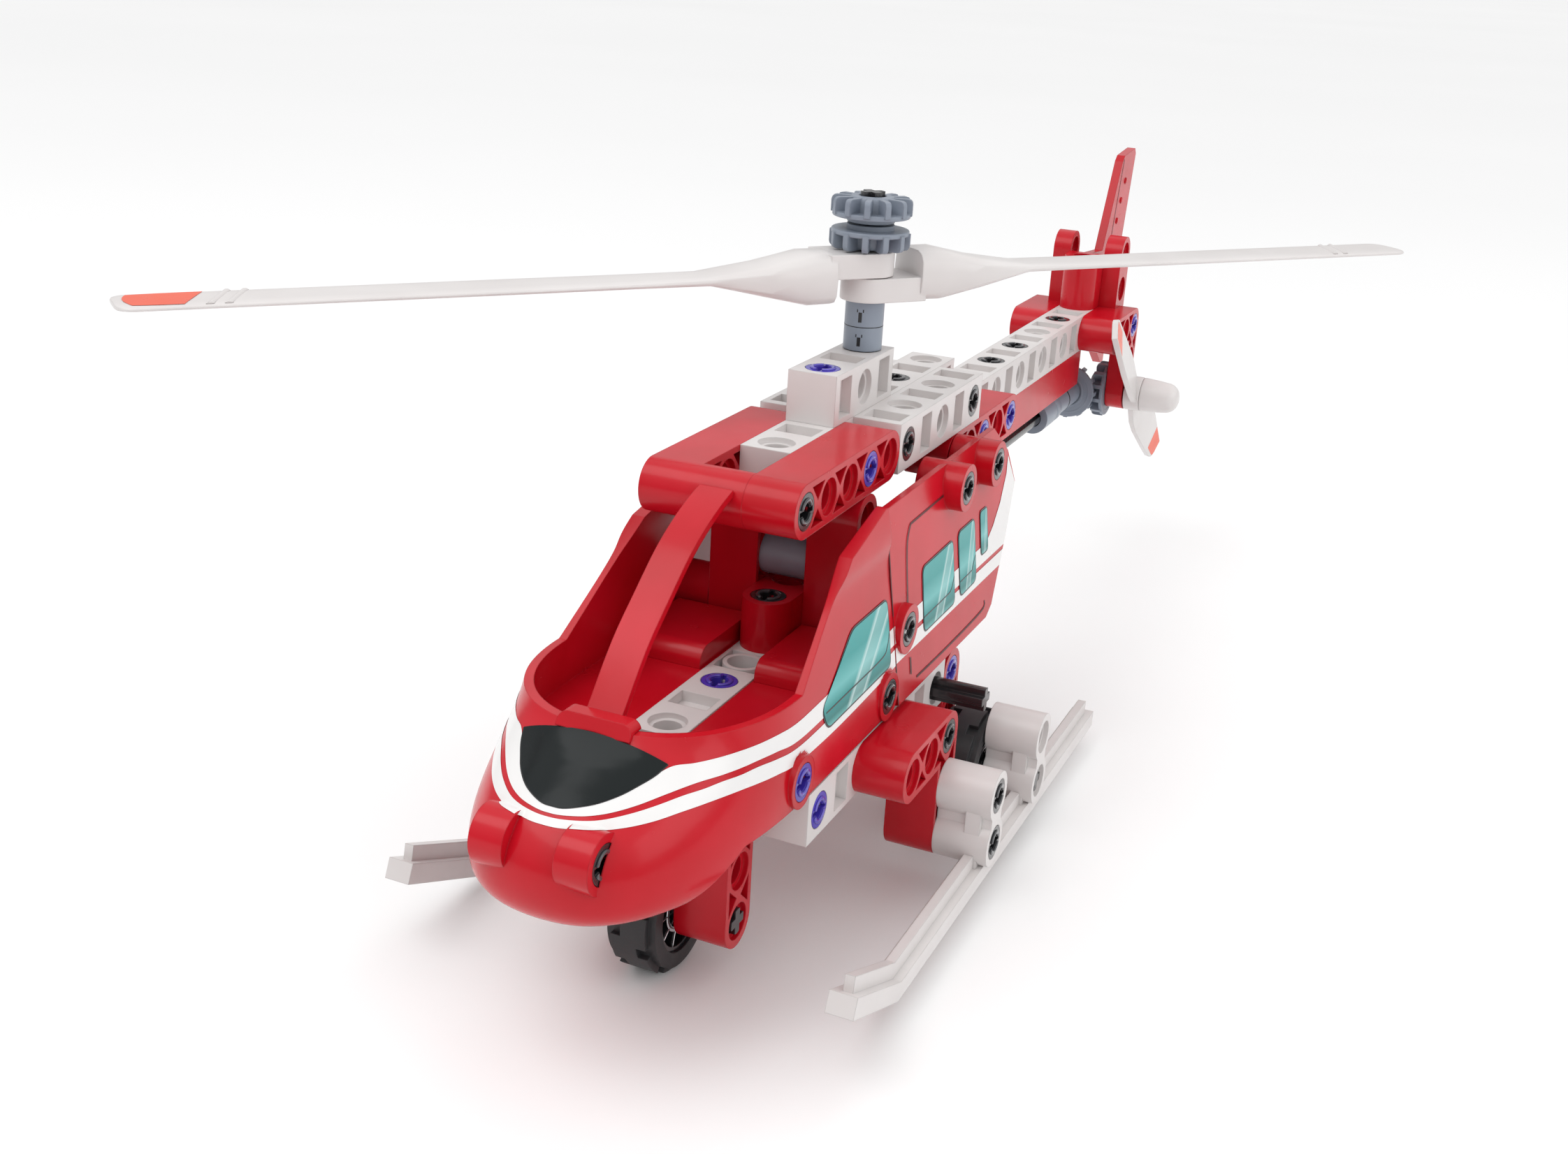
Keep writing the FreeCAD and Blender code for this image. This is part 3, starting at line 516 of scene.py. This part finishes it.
def gear_mesh(core_top, back, phase, count=12):
    """Crown gear: thin plate, stepped middle and ribs with rounded shoulders."""
    if back > 0:
        rear = [(0.0, -back), (0.46, -back), (0.47, -back + 0.01), (0.47, 0.0)]
    else:
        rear = [(0.0, 0.0), (0.40, 0.0), (0.41, -0.02), (0.46, -0.02), (0.47, 0.0), (0.60, 0.0),
                (0.61, -0.012), (0.63, -0.012), (0.64, 0.0)]
    verts, faces = spin_profile(rear + [
        (0.755, 0.0), (0.77, 0.015), (0.77, 0.085), (0.755, 0.1), (0.47, 0.1), (0.468, 0.22),
        (0.45, core_top - 0.05), (0.42, core_top - 0.01), (0.36, core_top), (0.27, core_top),
        (0.26, core_top - 0.04), (0.0, core_top - 0.04)])
    half = 0.06   # half a rib's thickness
    shoulder = [(0.36, 0.05), (0.80, 0.05), (0.80, 0.28), (0.787, 0.33), (0.758, 0.364),
                (0.70, 0.38), (0.36, 0.38)]
    for i in range(count):
        a = math.radians(phase) + 2 * math.pi * i / count
        ca, sa = math.cos(a), math.sin(a)
        faces += prism_faces(len(verts), len(shoulder))
        for w in (-half, half):
            for r, h in shoulder:
                verts.append((r * ca - w * sa, r * sa + w * ca, h))
    return verts, faces


def shade(obj, width=0.00018, angle=32):
    """Crisp moulded edges with a small round."""
    for poly in obj.data.polygons:
        poly.use_smooth = True
    soft = obj.modifiers.new("edge", "BEVEL")
    soft.width = width
    soft.segments = 2
    soft.limit_method = "ANGLE"
    soft.angle_limit = math.radians(angle)
    soft.harden_normals = True


def gear_piece(name, body, gears, replaced):
    """Gears of one CAD node: each is (axis, plate centre, way of the teeth, core, back, phase)."""
    verts = []
    faces = []
    for axis, centre, toward, core_top, back, phase in gears:
        part_verts, part_faces = gear_mesh(core_top, back, phase)
        base = len(verts)
        verts += [turned(q, axis, centre, toward) for q in part_verts]
        faces += [[base + i for i in f] for f in part_faces]
    obj = piece(name, verts, faces, grey, body)
    shade(obj)
    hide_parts(replaced)


gear_piece("mast_gears", "main_rotor",
           [("z", (-6, 0, -2.0), -1, 0.5, 0.0, 15.0), ("z", (-6, 0, 3.9), -1, 0.38, 0.1, 15.0),
            ("z", (-6, 0, 4.14), 1, 0.4, 0.11, 15.0)], "mast_crown_gears")
gear_piece("shaft_gears", "drive_train",
           [("x", (-7.0, 0, -3.0), 1, 0.5, 0.0, 0.0), ("x", (-23.0, 0, -3.0), -1, 0.5, 0.0, 0.0)],
           "shaft_crown_gears")
gear_piece("tail_gear", "tail_rotor", [("y", (-24, 0.98, -3.0), -1, 0.5, 0.0, 15.0)],
           "tail_crown_gear")


def ring(name, axis, centre, profile, mat, body):
    """Thin turned band round an axis."""
    verts, faces = spin_profile(profile)
    piece(name, [turned(q, axis, centre, 1) for q in verts], faces, mat, body)


def seam_shade_ring(name, axis, centre, inner, outer, half, body):
    """Dark line round a turned part: painted shade in the seam or gap between two parts."""
    profile = [(inner, -half), (outer, -half), (outer, half), (inner, half)]
    ring(name, axis, centre, profile, black_print_and_shade, body)


BUSHING_RADIUS = 0.392
SLOT_HEADING = math.radians(9.0)

# Painted shade in the bushing's seam.
seam_shade_ring("bushing_seam", "z", (*MAST, 2.0), 0.37, 0.3925, 0.008, "main_rotor")
ring("coupler_collar", "x", (-20.9, 0, -3.0),
     [(0.3, 0.0), (0.42, 0.0), (0.435, 0.02), (0.435, 0.42), (0.42, 0.445), (0.3, 0.445)],
     grey, "drive_train")
# Painted shade in the gap beside the coupler.
seam_shade_ring("coupler_gap", "x", (-21.9, 0, -3.0), 0.36, 0.383, 0.04, "drive_train")
# Painted shade: dark sheets on the bushings where their slots lie in shade.
for number, (foot, head_z) in enumerate(((1.62, 1.86), (2.1, 2.36))):
    slot_verts = []
    reach = BUSHING_RADIUS + 0.001
    for half, z in ((0.035, foot), (0.035, head_z - 0.06), (0.07, head_z - 0.06), (0.07, head_z)):
        for side in (-1, 1):
            heading = SLOT_HEADING + side * half / BUSHING_RADIUS
            slot_verts.append(at(MAST[0] + reach * math.cos(heading),
                                 MAST[1] + reach * math.sin(heading), z))
    piece("bushing_slot_%d" % (number + 1), slot_verts, [[0, 1, 3, 2], [4, 5, 7, 6]],
          black_print_and_shade, "main_rotor", closed=False)


# ------------------------------------------------------------------ main blades
def blade_spot(heading):
    """What puts a blade's point, given as along, across and up, on the model."""
    turn = math.radians(heading)
    ct, st = math.cos(turn), math.sin(turn)
    return lambda x, y, z: at(MAST[0] + x * ct - y * st, MAST[1] + x * st + y * ct, z)


def blade_form(lap_low):
    """Points and faces of a main blade: domed root, crowned upper face, rounded tip and lapped eye."""
    stations = [(0.95, 0.55, 2.5, 3.5), (1.25, 0.595, 2.5, 3.5), (1.5, 0.62, 2.5, 3.5),
                (1.95, 0.61, 2.6, 3.4), (2.4, 0.6, 2.7, 3.3), (3.0, 0.54, 2.835, 3.215),
                (3.6, 0.48, 2.97, 3.13), (5.0, 0.51, 2.984, 3.116), (7.0, 0.55, 2.99, 3.11),
                (10.0, 0.564, 2.995, 3.105), (13.0, 0.577, 3.0, 3.1), (13.8, 0.58, 3.0, 3.1),
                (13.9, 0.563, 3.0, 3.1), (14.0, 0.504, 3.002, 3.098), (14.06, 0.43, 3.005, 3.095),
                (14.1, 0.28, 3.01, 3.09)]   # reach, half-width, underside, top
    around = 14
    wide_power, high_power = 0.45, 0.6      # below 1 makes a section squarer than an ellipse
    verts = []
    for reach, half, low, high in stations:
        for k in range(around):
            a = 2 * math.pi * k / around
            c, s = math.cos(a), math.sin(a)
            w = math.copysign(abs(c) ** wide_power, c) * half
            h = (low + high) / 2 + math.copysign(abs(s) ** high_power, s) * (high - low) / 2
            verts.append((reach, w, h))
    last = len(verts) - around
    faces = ring_faces(0, len(stations), around)
    faces += [list(reversed(range(around))), [last + k for k in range(around)]]
    arc_steps = 40
    eye_radius, eye_reach, eye_half = 0.52, 1.1, 0.50
    faces += prism_faces(len(verts), arc_steps + 2)
    for h in (lap_low + 0.01, lap_low + 0.49):
        for k in range(arc_steps):
            a = math.pi / 2 + math.pi * k / (arc_steps - 1)
            verts.append((eye_radius * math.cos(a), eye_radius * math.sin(a), h))
        verts += [(eye_reach, -eye_half, h), (eye_reach, eye_half, h)]
    return verts, faces


def blade_ribs(name, on_blade):
    """Two small slanted ribs across a main blade, near its tip."""
    quads = [[0, 1, 3, 2], [2, 3, 5, 4], [4, 5, 7, 6], [6, 7, 1, 0], [0, 2, 4, 6], [1, 7, 5, 3]]
    slant = 0.45
    for i, start in enumerate((12.05, 12.35)):
        bar = []
        for dx, z in ((0.0, 3.09), (0.05, 3.125), (0.1, 3.125), (0.15, 3.09)):
            bar += [on_blade(start + dx + y * slant, y, z) for y in (-0.50, 0.50)]
        rib = piece("%s_rib_%d" % (name, i + 1), bar, quads, white, "main_rotor")
        shade(rib, 0.00008)


def blade_tip_print(name, on_blade):
    """Orange print on a main blade's tip, laid on its crowned face."""
    rows, columns = 12, 8
    patch = []
    for i in range(rows + 1):
        t = i / rows
        half = 0.46 * (1.0 - 0.10 * t ** 3)
        for j in range(columns + 1):
            w = -1 + 2 * j / columns
            x = 12.82 + w * 0.22 + t * (1.12 - w * 0.22 - 0.10 * w * w)
            patch.append(on_blade(x, w * half, 3.108 - 0.006 * w * w))
    piece(name + "_tip_print", patch, net_faces(rows + 1, columns + 1), orange, "main_rotor",
          closed=False)


def blade_piece(name, heading, lap_low, replaced, tip_print):
    """Main blade with its ribs and, on one blade, the print on its tip."""
    on_blade = blade_spot(heading)
    local, faces = blade_form(lap_low)
    obj = piece(name, [on_blade(*q) for q in local], faces, white, "main_rotor")
    shade(obj, 0.0002, 40)
    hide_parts(replaced)
    blade_ribs(name, on_blade)
    if tip_print:
        blade_tip_print(name, on_blade)


blade_piece("main_blade_a", -38.5, 3.0, "rotor_blade_a", True)
blade_piece("main_blade_b", 141.5, 2.5, "rotor_blade_b", False)


# ------------------------------------------------------------------ tail rotor
TAIL_HEADING = 36.0
TAIL_PITCH = 12.0
TAIL_BLADE_Y = 1.78           # middle plane of the tail blades
TAIL_BLADE_HALF = 0.08        # half a tail blade's thickness


def tail_spot(reach, across, lift, turn):
    """Point of a tail blade, in its own plane, to its place on the model."""
    heading = math.radians(TAIL_HEADING + turn)
    lean = math.radians(TAIL_PITCH)
    y = TAIL_BLADE_Y - across * math.sin(lean) + lift * math.cos(lean)
    flat = across * math.cos(lean) + lift * math.sin(lean)
    x = reach * math.cos(heading) - flat * math.sin(heading)
    z = reach * math.sin(heading) + flat * math.cos(heading)
    return at(TAIL[0] + x, y, TAIL[1] + z)


def tail_rotor_piece():
    """Hub with two opposite pitched blades, rounded at the leading tip."""
    verts, faces = spin_profile([(0.26, 1.53), (0.48, 1.53), (0.5, 1.55), (0.5, 1.98), (0.48, 2.0),
                                 (0.26, 2.0)])
    verts = [turned(q, "y", (TAIL[0], 0, TAIL[1]), 1) for q in verts]
    outline = [(0.3, -0.42), (1.0, -0.54), (2.5, -0.56), (3.5, -0.48), (4.54, -0.4), (4.54, 0.04),
               (4.5, 0.15), (4.4, 0.25), (4.24, 0.32), (3.4, 0.42), (1.7, 0.57), (1.0, 0.56),
               (0.3, 0.42)]
    for turn in (0.0, 180.0):
        faces += prism_faces(len(verts), len(outline))
        for lift in (-TAIL_BLADE_HALF, TAIL_BLADE_HALF):
            verts += [tail_spot(reach, across, lift, turn) for reach, across in outline]
    obj = piece("tail_blades", verts, faces, white, "tail_rotor")
    shade(obj, 0.00025, 40)
    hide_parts("tail_rotor")
    patch_edge = [(3.5, -0.45), (4.5, -0.37), (4.5, 0.03), (4.46, 0.12), (4.38, 0.2), (3.63, 0.25)]
    for number, turn in enumerate((0.0, 180.0)):
        lift = TAIL_BLADE_HALF + 0.0015
        patch = [tail_spot(reach, across, lift, turn) for reach, across in patch_edge]
        piece("tail_tip_print_%d" % (number + 1), patch, [list(range(len(patch)))], orange,
              "tail_rotor", closed=False)


tail_rotor_piece()
spinner_verts, spinner_faces = spin_profile([
    (0.0, 2.005), (0.47, 2.005), (0.49, 2.02), (0.495, 2.05), (0.478, 2.3), (0.457, 2.55),
    (0.43, 2.78), (0.395, 2.88), (0.33, 2.97), (0.24, 3.035), (0.13, 3.07), (0.0, 3.08)])
spinner = piece("spinner_cap", [turned(q, "y", (TAIL[0], 0, TAIL[1]), 1) for q in spinner_verts],
                spinner_faces, white, "tail_rotor")
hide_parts("tail_spinner")


# ------------------------------------------------------------------ wheel spokes
def spokes(name, x, y, z, body):
    """Bright printed ring and thin spokes on both faces of a wheel."""
    verts = []
    faces = []
    steps = 56
    count = 10
    band_section = ((0.40, 0.365), (0.42, 0.385), (0.48, 0.385), (0.50, 0.365))
    for face in (-1, 1):
        faces += ring_faces(len(verts), len(band_section), steps)
        for r, lift in band_section:
            for k in range(steps):
                a = 2 * math.pi * k / steps
                verts.append(at(x + r * math.cos(a), y + face * lift, z + r * math.sin(a)))
        for i in range(count):
            a = 2 * math.pi * i / count
            ca, sa = math.cos(a), math.sin(a)
            base = len(verts)
            for r in (0.33, 0.76):
                for w, lift in ((-0.018, 0.365), (-0.010, 0.38), (0.010, 0.38), (0.018, 0.365)):
                    verts.append(at(x + r * ca - w * sa, y + face * lift, z + r * sa + w * ca))
            faces += [[base + j, base + j + 1, base + j + 5, base + j + 4] for j in range(3)]
            faces += [[base, base + 4, base + 7, base + 3]]
    piece(name, verts, faces, chrome, body)


spokes("nose_wheel_spokes", 2, 0, -7, "nose_wheel")
spokes("rear_left_wheel_spokes", -6, 3, -7, "rear_left_wheel")
spokes("rear_right_wheel_spokes", -6, -3, -7, "rear_right_wheel")


# ------------------------------------------------------------------ peg lips
# Lips lighter than the pegs' own black and blue plastic: painted highlight; their gloss is real.
black_lip = moulded("black_peg_lip", (0.060, 0.060, 0.066), (0.035, 0.035, 0.040), 0.14, spread=0.05,
                    coat=0.6, edge=0.0)
blue_lip = moulded("blue_peg_lip", (0.10, 0.075, 0.50), (0.07, 0.05, 0.40), 0.14, spread=0.05,
                   coat=0.6, edge=0.0)


def peg_lips(name, across, upright, mat):
    """Sprung lips of every peg: two raised arcs, open where the peg's slot runs out."""
    verts = []
    faces = []
    section = [(0.165, 0.0), (0.17, 0.022), (0.20, 0.034), (0.24, 0.030), (0.255, 0.0)]
    n = len(section)
    steps = 14
    arc = 144.0
    spots = [("y", x, side * face, z, side) for x, z, face in across for side in (1, -1)]
    spots += [("z", x, 0.0, face, 1) for x, face in upright]
    for axis, x, y, z, way in spots:
        for start in (18.0, 198.0):
            base = len(verts)
            for i in range(steps + 1):
                a = math.radians(start + arc * i / steps)
                for r, h in section:
                    verts.append(turned((r * math.cos(a), r * math.sin(a), h), axis, (x, y, z), way))
            for i in range(steps):
                for j in range(n - 1):
                    faces.append([base + i * n + j, base + i * n + j + 1,
                                  base + (i + 1) * n + j + 1, base + (i + 1) * n + j])
                faces.append([base + i * n, base + (i + 1) * n, base + (i + 1) * n + n - 1,
                              base + i * n + n - 1])
            faces.append([base + j for j in range(n)])
            faces.append([base + steps * n + j for j in reversed(range(n))])
    piece(name, verts, faces, mat, "airframe")


peg_lips("black_peg_lips",
         [(0, 0, 1.5), (-5, 0, 1.5), (-9, 0, 1.5), (-2, -4, 2.58), (-3, -3, 2.52), (-6, -1, 2.5),
          (-8, -1, 2.5), (-3, -5, 3.5), (-3, -6, 4.6), (-3, -7, 4.6), (6, -4, 1.05)],
         [(-8, 0.5), (-15, -0.5), (-17, -0.5), (-21, -0.5), (-2, -2.5)], black_lip)
peg_lips("blue_peg_lips",
         [(-3, 0, 1.5), (-12, -1, 1.5), (-10, -1, 1.5), (-24, -1, 1.5), (2, -4, 2.58), (1, -5, 2.5),
          (-6, -5, 2.5)],
         [(-4, 1.5), (0, -3.5)], blue_lip)


# ------------------------------------------------------------------ fin details
def fin_point(x, z, side, lift):
    """Point on one face of the tail fin, lifted off it."""
    fin_half = 0.12
    return at(x, side * (fin_half + lift), z)


def fin_bumps(side, word):
    """Three small domes on one face of the fin."""
    verts = []
    faces = []
    around = 20
    dome = ((0.10, 0.0), (0.095, 0.018), (0.07, 0.034), (0.035, 0.042))
    for x, z in ((-26.67, 2.73), (-26.38, 2.18), (-26.15, 1.60)):
        base = len(verts)
        for r, h in dome:
            for k in range(around):
                a = 2 * math.pi * k / around
                verts.append(fin_point(x + r * math.cos(a), z + r * math.sin(a), side, h))
        faces += ring_faces(base, len(dome), around)
        faces.append([len(verts) - around + k for k in range(around)])
        faces.append([base + k for k in reversed(range(around))])
    piece("fin_bumps_" + word, verts, faces, red, "airframe")


def fin_groove_shade(side, word):
    """Painted shade: dark line down one face of the fin, where its groove lies in shade."""
    half = 0.022
    spots = [fin_point(x + dx, z, side, 0.006)
             for x, z in ((-26.22, 3.40), (-25.94, 2.3), (-25.70, 1.25)) for dx in (-half, half)]
    face_out(piece("fin_groove_shade_" + word, spots, [[0, 1, 3, 2], [2, 3, 5, 4]], groove_and_seam_shade,
                   "airframe", closed=False), side)


for side, word in SIDES:
    fin_bumps(side, word)
    fin_groove_shade(side, word)


# ------------------------------------------------------------------ floor, light, camera
floor_mesh = bpy.data.meshes.new("studio_floor")
FLOOR_HALF = 16
floor_mesh.from_pydata([(x * FLOOR_HALF, y * FLOOR_HALF, 0)
                        for x, y in ((-1, -1), (1, -1), (1, 1), (-1, 1))], [], [[0, 1, 2, 3]])
floor = bpy.data.objects.new("studio_floor", floor_mesh)
bpy.context.scene.collection.objects.link(floor)
floor_mesh.materials.append(moulded("studio_floor_paint", (0.95, 0.95, 0.95), (0.93, 0.93, 0.93),
                                    0.6, edge=0.0, cloud=1.5))

world = bpy.data.worlds.new("studio")
bpy.context.scene.world = world
world.use_nodes = True
sky = world.node_tree
sky_place = sky.nodes.new("ShaderNodeTexCoord")
sky_parts = sky.nodes.new("ShaderNodeSeparateXYZ")
sky.links.new(sky_place.outputs["Generated"], sky_parts.inputs["Vector"])
sky_colour = colour_ramp(sky, sky_parts.outputs["Z"],
                         [(0.0, (0.30, 0.30, 0.30)), (0.75, (1.0, 1.0, 1.0))])
sky.links.new(sky_colour, sky.nodes["Background"].inputs["Color"])
socket(sky.nodes["Background"], "Strength", 1.15)


def softbox(name, place, target, wide, high, power):
    """Area light aimed at a target; places and sizes are in metres."""
    light = bpy.data.lights.new(name, "AREA")
    light.shape = "RECTANGLE"
    light.size = wide
    light.size_y = high
    light.energy = power
    obj = bpy.data.objects.new(name, light)
    bpy.context.scene.collection.objects.link(obj)
    obj.location = place
    obj.rotation_mode = "QUATERNION"
    obj.rotation_quaternion = (Vector(target) - Vector(place)).to_track_quat("-Z", "Y")


softbox("key_left_side", (0.05, 0.95, 0.45), (0.0, 0.0, 0.06), 0.9, 0.5, 2.0)
softbox("top", (0.45, -0.30, 0.85), (0.05, 0.0, 0.06), 0.7, 0.5, 2.2)
bpy.context.scene.view_settings.view_transform = "Standard"

CAMERA_PLACE = (26.2234, 12.3814, 9.3923)   # in pitches, from the fit to the photograph
CAMERA_HEADING = 113.177                    # degrees from +Y, towards -X
CAMERA_TILT = 69.522                        # degrees up from straight down
CAMERA_ROLL = 3.287
CAMERA_LENS = 40.11                         # millimetres, on the sensor below

camera_data = bpy.data.cameras.new("camera")
camera = bpy.data.objects.new("camera", camera_data)
bpy.context.scene.collection.objects.link(camera)
camera_data.sensor_width = 36.0
camera_data.lens = CAMERA_LENS
camera_data.clip_start = 0.01
camera_data.clip_end = 20.0
camera.matrix_world = (Matrix.Translation(at(*CAMERA_PLACE))
                       @ Matrix.Rotation(math.radians(CAMERA_HEADING), 4, "Z")
                       @ Matrix.Rotation(math.radians(CAMERA_TILT), 4, "X")
                       @ Matrix.Rotation(math.radians(CAMERA_ROLL), 4, "Z"))
bpy.context.scene.camera = camera
